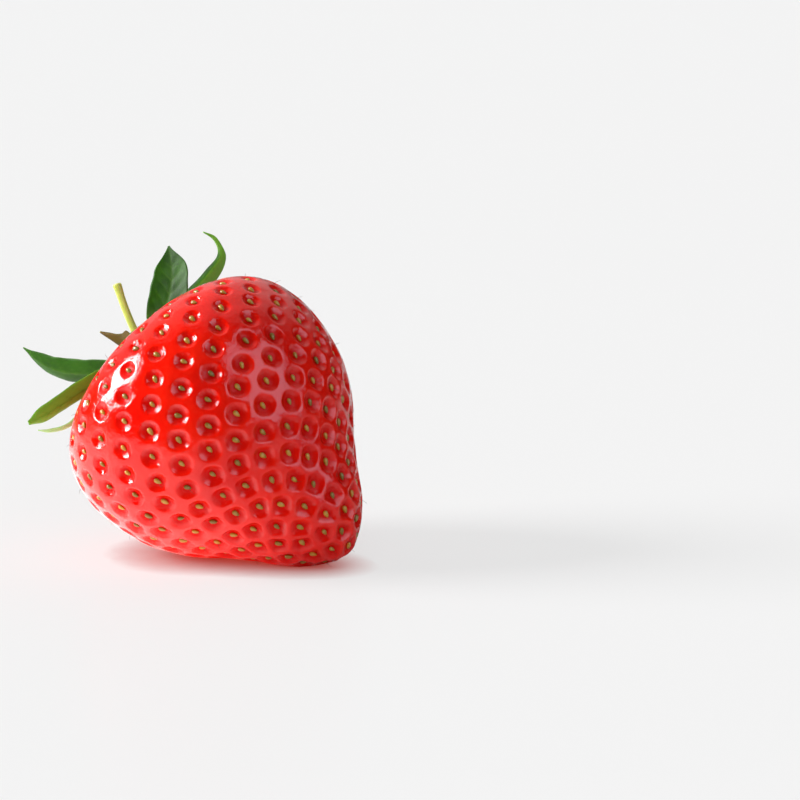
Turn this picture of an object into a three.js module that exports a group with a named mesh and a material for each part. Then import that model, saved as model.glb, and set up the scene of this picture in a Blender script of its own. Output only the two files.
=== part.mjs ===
// A ripe strawberry lying on its side: fruit with seed pits, cut stem, calyx base, sepals and bractlets.
// Millimetres, +Z up, the table is z = 0. The origin is in the wide part of the flat spot that it rests
// on, below its centre of mass.
// The berry is shaped upright in its own axes, tip down: +z runs from the tip to the calyx, +x is the
// side that ends on top, -x the side that ends underneath, -y the front. Two nested groups lay it down.

import * as THREE from "three";
import { ConvexHull } from "three/addons/math/ConvexHull.js";

// ---------------------------------------------------------------- driving sizes
const axisDip = 37.8;                 // degrees the tip points below level
const axisTurn = -30;                 // degrees the berry is turned about the upright
const tipPlace = new THREE.Vector3(18.1, -10.2, 3.05);  // where the upright berry's lowest point goes
const heartHeight = 26;               // the point inside the fruit that its outline is measured from
// Distance from the heart to the skin, every 15 degrees from the tip round to the calyx.
const outline = [27, 24.1, 20.6, 19.2, 19.5, 20.3, 21.2, 22.4, 23, 21.6, 18.6, 17.1, 16.6];
const heartToCalyx = outline[outline.length - 1];
const calyxHeight = heartHeight + heartToCalyx;

// Places where the fruit grew fuller or flatter than its even outline, angles in degrees.
const swellings = [
  { fromTip: 92, around: -110, reach: 28, rise: 0.9 },
  { fromTip: 100, around: 60, reach: 26, rise: -0.6 },
  { fromTip: 15, around: -100, reach: 14, rise: -0.7 },
];

const pitCount = 380;
const pitDepth = 0.8;
const pitRadius = 1.5;                // where pits stand free of each other
const pitShare = 0.42;                // a crowded pit's radius, as a share of the way to the next pit
const pitCorners = 6;
const tipCrowding = 0.7;              // extra pits per area at the tip, as a share of the usual number
const tipReach = 35;                  // degrees over which that crowding fades
const bareCalyx = 168;                // degrees from the tip where the pits stop
const dishRadius = 1.6;               // ring of plain skin in the dish under the calyx

const bladeThickness = 0.5;
const bladeStart = 2.75;              // distance of every leaf's foot from the axis
// Half width of a leaf along its length, as a share of its widest place.
const bladeShape = [0.22, 0.66, 0.95, 1, 0.84, 0.5, 0.06];
const broadShape = [0.28, 0.6, 0.88, 1, 1, 0.8, 0.05];
const foldedShape = [0.4, 0.85, 1, 0.8, 0.34, 0.24, 0.06];
const bluntShape = [0.22, 0.7, 1, 1, 0.95, 0.8, 0.25];
const raggedShape = [0.3, 0.7, 1, 0.9, 1, 0.6, 0.08];

const degrees = THREE.MathUtils.degToRad;
const goldenTurn = Math.PI * (3 - Math.sqrt(5));

// ---------------------------------------------------------------- materials
const skin = new THREE.MeshStandardMaterial({ color: 0xd5160f, roughness: 0.28, metalness: 0 });
const leafGreen = new THREE.MeshStandardMaterial({ color: 0x3f6b1c, roughness: 0.6, metalness: 0 });
const paleGreen = new THREE.MeshStandardMaterial({ color: 0x86a75c, roughness: 0.6, metalness: 0 });
const driedGreen = new THREE.MeshStandardMaterial({ color: 0x6f6024, roughness: 0.7, metalness: 0 });
const stemGreen = new THREE.MeshStandardMaterial({ color: 0xc6cf6a, roughness: 0.55, metalness: 0 });

// ---------------------------------------------------------------- groups that lay the berry down
const strawberry = new THREE.Group();
strawberry.name = "strawberry";
strawberry.position.copy(tipPlace);
strawberry.rotation.z = degrees(axisTurn);

const leaning = new THREE.Group();
leaning.name = "leaning_berry";
leaning.rotation.y = -degrees(90 - axisDip);
strawberry.add(leaning);
strawberry.updateMatrixWorld(true);

// ---------------------------------------------------------------- fruit
// Smooth curve through evenly spaced values; `before` and `after` continue it past its ends.
function smoothValue(values, share, before, after) {
  const spans = values.length - 1;
  const place = THREE.MathUtils.clamp(share, 0, 1) * spans;
  const span = Math.min(Math.floor(place), spans - 1);
  const f = place - span;
  const at = (i) => (i < 0 ? before : i > spans ? after : values[i]);
  const [a, b, c, d] = [at(span - 1), at(span), at(span + 1), at(span + 2)];
  return 0.5 * (2 * b + (c - a) * f + (2 * a - 5 * b + 4 * c - d) * f * f
    + (3 * b - a - 3 * c + d) * f ** 3);
}

// Direction out of the heart, `fromTip` degrees away from the tip and `around` radians round the axis.
function directionAt(fromTip, around) {
  const angle = degrees(fromTip);
  const spread = Math.sin(angle);
  return new THREE.Vector3(spread * Math.cos(around), spread * Math.sin(around), -Math.cos(angle));
}

// Distance from the heart to the smooth skin in one direction.
function skinDistance(direction) {
  const fromTip = THREE.MathUtils.radToDeg(Math.acos(THREE.MathUtils.clamp(-direction.z, -1, 1)));
  let distance = smoothValue(outline, fromTip / 180, outline[1], outline[outline.length - 2]);
  for (const swelling of swellings) {
    const centre = directionAt(swelling.fromTip, degrees(swelling.around));
    const away = THREE.MathUtils.radToDeg(direction.angleTo(centre));
    distance += swelling.rise * Math.exp(-((away / swelling.reach) ** 2));
  }
  return distance;
}

// Pit directions on the growth spiral: equal steps of weighted area, one golden turn apart.
function pitDirections() {
  const rings = 360;
  const ringStep = bareCalyx / rings;
  const areaSoFar = [0];
  for (let i = 0; i < rings; i += 1) {
    const fromTip = (i + 0.5) * ringStep;
    const distance = skinDistance(directionAt(fromTip, 0));
    const crowding = 1 + tipCrowding * Math.exp(-((fromTip / tipReach) ** 2));
    const area = distance ** 2 * Math.sin(degrees(fromTip)) * crowding;
    areaSoFar.push(areaSoFar[i] + area);
  }
  const directions = [];
  let ring = 0;
  for (let pit = 0; pit < pitCount; pit += 1) {
    const wanted = ((pit + 0.5) / pitCount) * areaSoFar[rings];
    while (areaSoFar[ring + 1] < wanted) {
      ring += 1;
    }
    const share = (wanted - areaSoFar[ring]) / (areaSoFar[ring + 1] - areaSoFar[ring]);
    directions.push(directionAt((ring + share) * ringStep, pit * goldenTurn));
  }
  return directions;
}

// Corners of a ring of skin `radius` away from the point where `direction` meets the skin.
function ringDirections(direction, radius, corners) {
  const side = new THREE.Vector3(-direction.y, direction.x, 0);
  if (side.lengthSq() < 1e-12) {
    side.set(1, 0, 0);
  }
  side.normalize();
  const slope = direction.clone().cross(side);
  const spread = radius / skinDistance(direction);
  return Array.from({ length: corners }, (_, i) => {
    const angle = (i / corners) * 2 * Math.PI;
    return direction.clone()
      .addScaledVector(side, spread * Math.cos(angle))
      .addScaledVector(slope, spread * Math.sin(angle))
      .normalize();
  });
}

// Point of the skin, `depth` below the smooth surface, pressed flat where it would go under the table.
function skinPoint(direction, depth) {
  const heart = new THREE.Vector3(0, 0, heartHeight);
  const smooth = heart.clone().addScaledVector(direction, skinDistance(direction));
  const onTable = leaning.localToWorld(smooth.clone());
  if (onTable.z <= 0) {
    onTable.z = 0;
    return leaning.worldToLocal(onTable);
  }
  return smooth.addScaledVector(direction, -depth);
}

function buildFruit() {
  const directions = [];
  const points = [];
  const place = (direction, depth) => {
    directions.push(direction);
    points.push(skinPoint(direction, depth));
  };
  const pits = pitDirections();
  const middles = pits.map((direction) => skinPoint(direction, 0));
  pits.forEach((direction, pit) => {
    const toOthers = middles.filter((_, other) => other !== pit)
      .map((middle) => middle.distanceTo(middles[pit]));
    const radius = Math.min(pitRadius, pitShare * Math.min(...toOthers));
    place(direction, pitDepth * (radius / pitRadius));
    ringDirections(direction, radius, pitCorners).forEach((corner) => place(corner, 0));
  });
  const dishMiddle = new THREE.Vector3(0, 0, 1);
  place(dishMiddle, 0);
  ringDirections(dishMiddle, dishRadius, pitCorners).forEach((corner) => place(corner, 0));
  // The hull of the directions on a unit ball says which skin points are neighbours.
  directions.forEach((direction, index) => {
    direction.index = index;
  });
  const hull = new ConvexHull().setFromPoints(directions);
  const corners = [];
  for (const face of hull.faces) {
    let edge = face.edge;
    do {
      corners.push(edge.head().point.index);
      edge = edge.next;
    } while (edge !== face.edge);
  }
  const geometry = new THREE.BufferGeometry().setFromPoints(points);
  geometry.setIndex(corners);
  geometry.computeVertexNormals();
  const fruit = new THREE.Mesh(geometry, skin);
  fruit.name = "fruit";
  return fruit;
}

// ---------------------------------------------------------------- stem and calyx base
function buildStem() {
  const stemRadius = 0.62;
  const stemLine = new THREE.CatmullRomCurve3([
    new THREE.Vector3(0, 0, 0),
    new THREE.Vector3(0.8, 0.1, 2.3),
    new THREE.Vector3(2.5, 0.2, 6),
    new THREE.Vector3(4.1, 0.4, 9),
  ]);
  const section = new THREE.Shape().absarc(0, 0, stemRadius, 0, 2 * Math.PI);
  const geometry = new THREE.ExtrudeGeometry(section, {
    extrudePath: stemLine,
    steps: 12,
    curveSegments: 8,
    bevelEnabled: false,
  });
  const stem = new THREE.Mesh(geometry, stemGreen);
  stem.name = "stem";
  return stem;
}

function buildCalyxBase() {
  const profile = [[0, 0], [2.1, 0], [2.35, 0.35], [1.9, 0.8], [0.9, 1.05], [0, 1.1]];
  const outlinePoints = profile.map(([radius, height]) => new THREE.Vector2(radius, height));
  const turned = new THREE.LatheGeometry(outlinePoints, 24);
  turned.rotateX(Math.PI / 2);
  const base = new THREE.Mesh(turned, leafGreen);
  base.name = "calyx_base";
  return base;
}

// ---------------------------------------------------------------- leaves
// Each leaf springs from the calyx in its own direction. `line` holds points of its midrib as
// [distance from the axis, sideways, height above the calyx]. `roll` turns the blade about its midrib,
// given from foot to tip in degrees; `cup` is how far its edges bend off the midrib and `fold` how far
// a straight fold along the midrib lifts them.
const leaves = [
  {
    name: "sepal_1", around: 25, halfWidth: 3.1, cup: 0.6, roll: [30, 75, 80, 80, 80], finish: leafGreen,
    shape: broadShape,
    line: [[bladeStart, 0, 1], [4.6, 0, 2.6], [7.7, 0, 4], [10.7, 0, 6.3], [13.4, 0, 9.9]],
  },
  {
    name: "sepal_2", around: 50, halfWidth: 1.5, cup: 0, fold: -1, roll: [30, 65, 70, 60, 30, 10],
    finish: leafGreen, shape: foldedShape,
    line: [[bladeStart, 0, 1], [8.6, 0, 3.6], [15.2, 0, 4.8], [19.4, 0, 6.3], [20.4, 0, 8.7], [20, 0, 10.8]],
  },
  {
    name: "bractlet_3", around: 80, halfWidth: 0.9, cup: 0.3, roll: [0, 0, 10, 20], finish: paleGreen,
    line: [[bladeStart, 0, 0.9], [8, 0, 1.8], [13, 0, 2.3], [16.5, 0, 4.2]],
  },
  {
    name: "sepal_5", around: 105, halfWidth: 3, cup: 0.5, roll: [0, 0, -5, 5], finish: leafGreen,
    line: [[bladeStart, 0, 1], [8, 0, 1.3], [13.5, 0, 0.8], [17.5, 0.4, -0.9], [20, 1, -2.4]],
  },
  {
    name: "bractlet_4", around: 134, halfWidth: 1, cup: 0.3, roll: [0, 5, 10], finish: paleGreen,
    line: [[bladeStart, 0, 0.9], [8.5, 0, 1.7], [13.5, 0, 1.5], [16.5, 0, 2.4]],
  },
  {
    name: "bractlet_2", around: 162, halfWidth: 1.8, cup: 0.6, roll: [0, 45, 80, 85], finish: driedGreen,
    shape: raggedShape,
    line: [[bladeStart, 0, 0.9], [2.5, 0, 2.6], [2, 0, 3.8], [3, 0, 5.4], [4.7, 0, 9.6]],
  },
  {
    name: "sepal_3", around: 185, halfWidth: 2.15, cup: 0.5, roll: [10, 50, 60, 60, 50], finish: leafGreen,
    line: [[bladeStart, 0, 1], [5.9, 0, 3.2], [9.2, 0, 5.9], [13.2, 0, 11.2], [14.4, 0, 15], [14.6, 0, 17.7]],
  },
  {
    name: "bractlet_1", around: 207, halfWidth: 0.55, cup: 0.2, roll: [0, 0, 10, 20], finish: paleGreen,
    line: [[bladeStart, 0, 0.9], [9, 0, 1.5], [16, 0, 1.3], [18.9, 0, 2.9], [20.1, 0, 4.4]],
  },
  {
    name: "sepal_4", around: 229, halfWidth: 1.5, cup: 0.4, roll: [0, 20, 30, 30, 30], finish: leafGreen,
    shape: bluntShape,
    line: [[bladeStart, 0, 1], [6.8, 0, 1.6], [12.4, 0, 2.2], [18.1, 0, 2.6], [21.1, 0, 3.1]],
  },
  {
    name: "bractlet_5", around: 260, halfWidth: 0.9, cup: 0.2, roll: [0, 0, 0], finish: paleGreen,
    line: [[bladeStart, 0, 0.9], [6, 0, 1], [9, 0, 0.7]],
  },
  {
    name: "sepal_6", around: 293, halfWidth: 2.3, cup: 0.4, roll: [0, 0, 5], finish: leafGreen,
    line: [[bladeStart, 0, 1], [6.5, 0, 1.2], [10.5, 0, 0.6]],
  },
  {
    name: "bractlet_6", around: 340, halfWidth: 0.8, cup: 0.2, roll: [0, 0, 0], finish: paleGreen,
    line: [[bladeStart, 0, 0.9], [5.5, 0, 1], [8.5, 0, 0.7]],
  },
];

function spineOf(leaf) {
  const around = degrees(leaf.around);
  const outward = new THREE.Vector3(Math.cos(around), Math.sin(around), 0);
  const sideways = new THREE.Vector3(-Math.sin(around), Math.cos(around), 0);
  const points = leaf.line.map(([out, side, up]) => new THREE.Vector3(0, 0, up)
    .addScaledVector(outward, out)
    .addScaledVector(sideways, side));
  return { curve: new THREE.CatmullRomCurve3(points, false, "centripetal"), sideways };
}

// A closed blade: an upper and a lower sheet of points, joined along the rim.
function buildLeaf(leaf) {
  const lengthSteps = 16;
  const widthSteps = 4;
  const { curve, sideways } = spineOf(leaf);
  const upper = [];
  const lower = [];
  for (let i = 0; i <= lengthSteps; i += 1) {
    const along = i / lengthSteps;
    const tangent = curve.getTangent(along);
    const flat = sideways.clone().addScaledVector(tangent, -sideways.dot(tangent)).normalize();
    const roll = degrees(smoothValue(leaf.roll, along, leaf.roll[0], leaf.roll[leaf.roll.length - 1]));
    const across = flat.applyAxisAngle(tangent, roll);
    const normal = tangent.clone().cross(across);
    const share = smoothValue(leaf.shape ?? bladeShape, along, 0, 0);
    for (let j = 0; j <= widthSteps; j += 1) {
      const reach = (2 * j) / widthSteps - 1;
      const lift = leaf.cup * reach ** 2 + (leaf.fold ?? 0) * Math.abs(reach);
      const middle = curve.getPoint(along)
        .addScaledVector(across, reach * share * leaf.halfWidth)
        .addScaledVector(normal, share * lift);
      const half = 0.5 * bladeThickness * (1 - 0.5 * reach ** 2) * (0.4 + 0.6 * share);
      upper.push(middle.clone().addScaledVector(normal, half));
      lower.push(middle.addScaledVector(normal, -half));
    }
  }
  const row = widthSteps + 1;
  const under = upper.length;
  const faces = [];
  const quad = (a, b, c, d) => faces.push(a, b, c, a, c, d);
  for (let i = 0; i < lengthSteps; i += 1) {
    for (let j = 0; j < widthSteps; j += 1) {
      const a = i * row + j;
      quad(a, a + row, a + row + 1, a + 1);
      quad(under + a, under + a + 1, under + a + row + 1, under + a + row);
    }
    const left = i * row;
    const right = left + widthSteps;
    quad(left, under + left, under + left + row, left + row);
    quad(right, right + row, under + right + row, under + right);
  }
  for (let j = 0; j < widthSteps; j += 1) {
    const last = lengthSteps * row + j;
    quad(j, j + 1, under + j + 1, under + j);
    quad(last, under + last, under + last + 1, last + 1);
  }
  const geometry = new THREE.BufferGeometry().setFromPoints([...upper, ...lower]);
  geometry.setIndex(faces);
  geometry.computeVertexNormals();
  const blade = new THREE.Mesh(geometry, leaf.finish);
  blade.name = leaf.name;
  return blade;
}

// ---------------------------------------------------------------- assembly
const fruit = buildFruit();
leaning.add(fruit);

const calyx = new THREE.Group();
calyx.name = "calyx";
calyx.position.z = calyxHeight;
leaning.add(calyx);

const base = buildCalyxBase();
base.position.z = 0.75;
calyx.add(base);

const stem = buildStem();
stem.position.z = 2.2;
calyx.add(stem);

for (const leaf of leaves) {
  calyx.add(buildLeaf(leaf));
}

export default strawberry;
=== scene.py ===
"""A ripe strawberry lying on its side on a pale table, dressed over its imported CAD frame.

Shapes are worked out in the berry's own axes in millimetres, tip down: +z runs from the tip to the
calyx, +x is the side that ends on top, -x the side that ends underneath and -y the front. One method
lays them down in the frame of the CAD model, in metres.
"""
import logging
import math
from dataclasses import dataclass, field
from enum import Enum
from typing import Any

import bpy
import numpy as np
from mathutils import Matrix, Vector


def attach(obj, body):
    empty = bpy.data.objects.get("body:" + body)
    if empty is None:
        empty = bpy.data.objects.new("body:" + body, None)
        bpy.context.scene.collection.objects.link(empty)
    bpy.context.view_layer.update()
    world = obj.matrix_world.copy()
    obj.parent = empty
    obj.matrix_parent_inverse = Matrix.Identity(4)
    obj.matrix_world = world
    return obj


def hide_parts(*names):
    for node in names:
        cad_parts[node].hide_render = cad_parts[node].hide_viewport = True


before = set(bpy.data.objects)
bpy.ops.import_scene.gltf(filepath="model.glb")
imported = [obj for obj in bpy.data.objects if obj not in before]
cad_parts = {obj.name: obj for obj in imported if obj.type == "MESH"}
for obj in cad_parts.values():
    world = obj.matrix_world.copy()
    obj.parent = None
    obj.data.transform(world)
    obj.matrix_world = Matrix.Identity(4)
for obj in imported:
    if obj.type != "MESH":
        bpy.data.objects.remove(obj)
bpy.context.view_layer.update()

log = logging.getLogger("strawberry")

MM = 0.001
GOLDEN_TURN = math.pi * (3 - math.sqrt(5))
BODY = "root"


# ---------------------------------------------------------------- small helpers
def linear(colour: str) -> tuple[float, float, float, float]:
    """Turn an sRGB hex colour into linear light.

    Args:
        colour: six hex digits after a hash sign.

    Returns:
        Red, green and blue in linear light, and an alpha of 1.
    """
    values = [int(colour[i:i + 2], 16) / 255 for i in (1, 3, 5)]
    red, green, blue = [v / 12.92 if v <= 0.04045 else ((v + 0.055) / 1.055) ** 2.4 for v in values]
    return (red, green, blue, 1.0)


def add_node(tree: bpy.types.NodeTree, kind: str, values: dict[str, Any] | None = None,
             links: dict[str, bpy.types.NodeSocket] | None = None, **settings: Any) -> bpy.types.Node:
    """Add one shader node with its settings and links.

    Args:
        tree: the node tree that gets the node.
        kind: the node's Blender type name.
        values: numbers or colours for its sockets, by socket name.
        links: outputs of other nodes that feed its sockets, by socket name.
        settings: properties of the node itself.

    Returns:
        The new node.
    """
    node = tree.nodes.new(kind)
    for name, value in settings.items():
        setattr(node, name, value)
    for name, value in (values or {}).items():
        node.inputs[name].default_value = value
    for name, output in (links or {}).items():
        tree.links.new(output, node.inputs[name])
    return node


def mix_colours(tree: bpy.types.NodeTree, amount: bpy.types.NodeSocket,
                first: Any, second: Any) -> bpy.types.NodeSocket:
    """Blend two colours by a mask.

    Args:
        tree: the node tree that gets the blend.
        amount: the mask, 0 for the first colour and 1 for the second.
        first: a linear colour or an output that gives one.
        second: a linear colour or an output that gives one.

    Returns:
        The blended colour's output.
    """
    node = add_node(tree, "ShaderNodeMix", data_type="RGBA")
    tree.links.new(amount, node.inputs[0])
    for socket, colour in ((node.inputs[6], first), (node.inputs[7], second)):
        if isinstance(colour, bpy.types.NodeSocket):
            tree.links.new(colour, socket)
        else:
            socket.default_value = colour
    return node.outputs[2]


def smooth_values(values: tuple[float, ...], share: np.ndarray, before: float, after: float) -> np.ndarray:
    """Read a smooth curve through evenly spaced values.

    Args:
        values: the values that the curve passes through.
        share: places along the curve, 0 at its start and 1 at its end.
        before: the value that continues the curve past its start.
        after: the value that continues it past its end.

    Returns:
        The curve's value at each place.
    """
    spans = len(values) - 1
    place = np.clip(share, 0, 1) * spans
    span = np.minimum(place.astype(int), spans - 1)
    f = place - span
    table = np.array([before, *values, after])
    a, b, c, d = (table[span + step] for step in range(4))
    return 0.5 * (2 * b + (c - a) * f + (2 * a - 5 * b + 4 * c - d) * f ** 2
                  + (3 * b - a - 3 * c + d) * f ** 3)


def new_finish(name: str) -> tuple[bpy.types.Material, bpy.types.NodeTree, bpy.types.NodeSocket]:
    """Start a material.

    Args:
        name: the material's name.

    Returns:
        The material, its node tree and the output that gives the place on the piece.
    """
    material = bpy.data.materials.new(name)
    material.use_nodes = True
    tree = material.node_tree
    return material, tree, add_node(tree, "ShaderNodeTexCoord").outputs["Object"]


def noise(tree: bpy.types.NodeTree, place: bpy.types.NodeSocket, size_mm: float,
          detail: float) -> bpy.types.NodeSocket:
    """Add a noise pattern.

    Args:
        tree: the node tree that gets the pattern.
        place: the output that gives the place on the piece.
        size_mm: the real size of its patches.
        detail: how many finer layers it has.

    Returns:
        The pattern's value.
    """
    node = add_node(tree, "ShaderNodeTexNoise", {"Scale": 1 / (size_mm * MM), "Detail": detail},
                    {"Vector": place})
    return node.outputs["Fac"]


def roughen(tree: bpy.types.NodeTree, height: bpy.types.NodeSocket, strength: float,
            depth_mm: float) -> None:
    """Give the tree's surface a fine relief.

    Args:
        tree: the node tree with the surface's shader.
        height: the pattern that gives the relief.
        strength: the share of the relief that shows.
        depth_mm: its depth.
    """
    bump = add_node(tree, "ShaderNodeBump", {"Strength": strength, "Distance": depth_mm * MM},
                    {"Height": height})
    tree.links.new(bump.outputs["Normal"], tree.nodes["Principled BSDF"].inputs["Normal"])


def unit(vectors: np.ndarray) -> np.ndarray:
    """Scale each vector to a length of one."""
    return vectors / np.maximum(np.linalg.norm(vectors, axis=-1, keepdims=True), 1e-12)


def tube_faces(rings: int, sides: int, start: int = 0) -> list[tuple[int, ...]]:
    """Join rings of corners into the wall of a tube.

    Args:
        rings: how many rings there are.
        sides: corners in each ring.
        start: number of the first corner.

    Returns:
        The wall's faces, four corners each.
    """
    lows = range(start, start + (rings - 1) * sides, sides)
    return [(low + j, low + (j + 1) % sides, low + sides + (j + 1) % sides, low + sides + j)
            for low in lows for j in range(sides)]


def capped_faces(rings: int, sides: int, mirrored: bool = False) -> list[tuple[int, ...]]:
    """Join a point, rings of corners and a last point into a closed skin.

    Args:
        rings: how many rings lie between the two points.
        sides: corners in each ring.
        mirrored: whether the rings run clockwise about the way they climb.

    Returns:
        The faces, by the numbers of their corners.
    """
    faces: list[tuple[int, ...]] = []
    last = 1 + rings * sides
    for j in range(sides):
        k = (j + 1) % sides
        faces.append((0, 1 + k, 1 + j))
        for i in range(rings - 1):
            low, high = 1 + i * sides, 1 + (i + 1) * sides
            faces.append((low + j, low + k, high + k, high + j))
        faces.append((last, last - sides + j, last - sides + k))
    return [(face[0], *face[:0:-1]) for face in faces] if mirrored else faces


def circle(sides: int, side: np.ndarray, other: np.ndarray) -> np.ndarray:
    """Lay a ring of even steps in the plane of two unit vectors.

    Args:
        sides: how many points the ring has.
        side: the way to its first point.
        other: the way a quarter turn on.

    Returns:
        The ring's points about its middle, at a radius of one.
    """
    turns = np.arange(sides)[:, None] * 2 * math.pi / sides
    return np.cos(turns) * side + np.sin(turns) * other


def make_piece(name: str, points: np.ndarray, faces: list | np.ndarray,
               tags: dict[str, np.ndarray] | None = None) -> bpy.types.Object:
    """Make a smooth-shaded mesh object from points in metres.

    Args:
        name: the piece's name.
        points: its corners.
        faces: lists of corner numbers.
        tags: numbers stored at each corner for its material, by name.

    Returns:
        The new object, linked into the scene.
    """
    mesh = bpy.data.meshes.new(name)
    mesh.from_pydata([tuple(p) for p in points], [], [tuple(int(i) for i in f) for f in faces])
    mesh.polygons.foreach_set("use_smooth", [True] * len(mesh.polygons))
    for tag, numbers in (tags or {}).items():
        layer = mesh.attributes.new(tag, "FLOAT", "POINT")
        layer.data.foreach_set("value", np.asarray(numbers, dtype=np.float32))
    mesh.update()
    piece = bpy.data.objects.new(name, mesh)
    bpy.context.scene.collection.objects.link(piece)
    return piece


def settle_in(piece: bpy.types.Object, material: bpy.types.Material, slot: str, *nodes: str) -> None:
    """Give a piece its finish, hang it on the model's body and hide the CAD nodes that it stands for.

    Args:
        piece: the finished mesh object.
        material: its finish.
        slot: a material slot's name; not used.
        nodes: the CAD nodes that it stands for.
    """
    piece.data.materials.append(material)
    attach(piece, BODY)
    if nodes:
        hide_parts(*nodes)
    log.info("%s: %d faces, stands for %s", piece.name, len(piece.data.polygons),
             ", ".join(nodes) or "detail")


# ---------------------------------------------------------------- the berry's form
@dataclass(frozen=True)
class Swelling:
    """A place where the fruit grew fuller or flatter, angles in degrees and rise in millimetres."""

    from_tip: float
    around: float
    reach: float
    rise: float


@dataclass(frozen=True)
class BerryForm:
    """The smooth fruit and the way it lies, in millimetres and degrees, as the CAD model has them."""

    axis_dip: float = 37.8
    axis_turn: float = -30.0
    tip_place: tuple[float, float, float] = (18.1, -10.2, 3.05)
    heart_height: float = 26.0
    outline: tuple[float, ...] = (27, 24.1, 20.6, 19.2, 19.5, 20.3, 21.2, 22.4, 23, 21.6, 18.6, 17.1, 16.6)
    swellings: tuple[Swelling, ...] = (
        Swelling(92, -110, 28, 0.9),
        Swelling(100, 60, 26, -0.6),
        Swelling(15, -100, 14, -0.7),
    )

    @property
    def calyx_height(self) -> float:
        """Height of the calyx above the upright berry's tip."""
        return self.heart_height + self.outline[-1]

    @staticmethod
    def direction(from_tip: np.ndarray, around: np.ndarray) -> np.ndarray:
        """Point out of the heart.

        Args:
            from_tip: angles from the tip in degrees.
            around: angles round the axis in radians.

        Returns:
            Unit directions.
        """
        angle = np.radians(from_tip)
        return np.stack([np.sin(angle) * np.cos(around), np.sin(angle) * np.sin(around),
                         -np.cos(angle)], axis=-1)

    def skin(self, directions: np.ndarray) -> np.ndarray:
        """Find the smooth skin.

        Args:
            directions: unit directions out of the heart.

        Returns:
            The point of the skin that each one meets, in the berry's own axes.
        """
        from_tip = np.degrees(np.arccos(np.clip(-directions[:, 2], -1, 1)))
        distance = smooth_values(self.outline, from_tip / 180, self.outline[1], self.outline[-2])
        for swelling in self.swellings:
            centre = self.direction(np.array(swelling.from_tip), np.radians(swelling.around))
            away = np.degrees(np.arccos(np.clip(directions @ centre, -1, 1)))
            distance = distance + swelling.rise * np.exp(-(away / swelling.reach) ** 2)
        return directions * distance[:, None] + np.array([0, 0, self.heart_height])

    def skin_axes(self, directions: np.ndarray) -> tuple[np.ndarray, np.ndarray, np.ndarray]:
        """Find how the skin lies.

        Args:
            directions: unit directions out of the heart.

        Returns:
            At each point, the unit vectors round the berry, towards the calyx and out of the skin.
        """
        step = 0.004
        side = np.stack([-directions[:, 1], directions[:, 0], np.zeros(len(directions))], axis=-1)
        side[np.linalg.norm(side, axis=1) < 1e-9] = (0, 1, 0)
        side = unit(side)
        rise = unit(np.cross(directions, side))
        here = self.skin(directions)
        across = unit(self.skin(unit(directions + step * side)) - here)
        upward = unit(self.skin(unit(directions + step * rise)) - here)
        outward = unit(np.cross(across, upward))
        return across, unit(np.cross(outward, across)), outward

    def turn(self, vectors: np.ndarray) -> np.ndarray:
        """Turn vectors from the berry's own axes into the model's frame.

        Args:
            vectors: directions or points about the tip.

        Returns:
            The turned vectors.
        """
        lean, spin = math.radians(90 - self.axis_dip), math.radians(self.axis_turn)
        x = vectors[..., 0] * math.cos(lean) - vectors[..., 2] * math.sin(lean)
        z = vectors[..., 0] * math.sin(lean) + vectors[..., 2] * math.cos(lean)
        y = vectors[..., 1]
        return np.stack([x * math.cos(spin) - y * math.sin(spin),
                         x * math.sin(spin) + y * math.cos(spin), z], axis=-1)

    def lay_down(self, points: np.ndarray) -> np.ndarray:
        """Move points from the berry's own axes into the model's frame, in metres."""
        return (self.turn(points) + np.array(self.tip_place)) * MM


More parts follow.
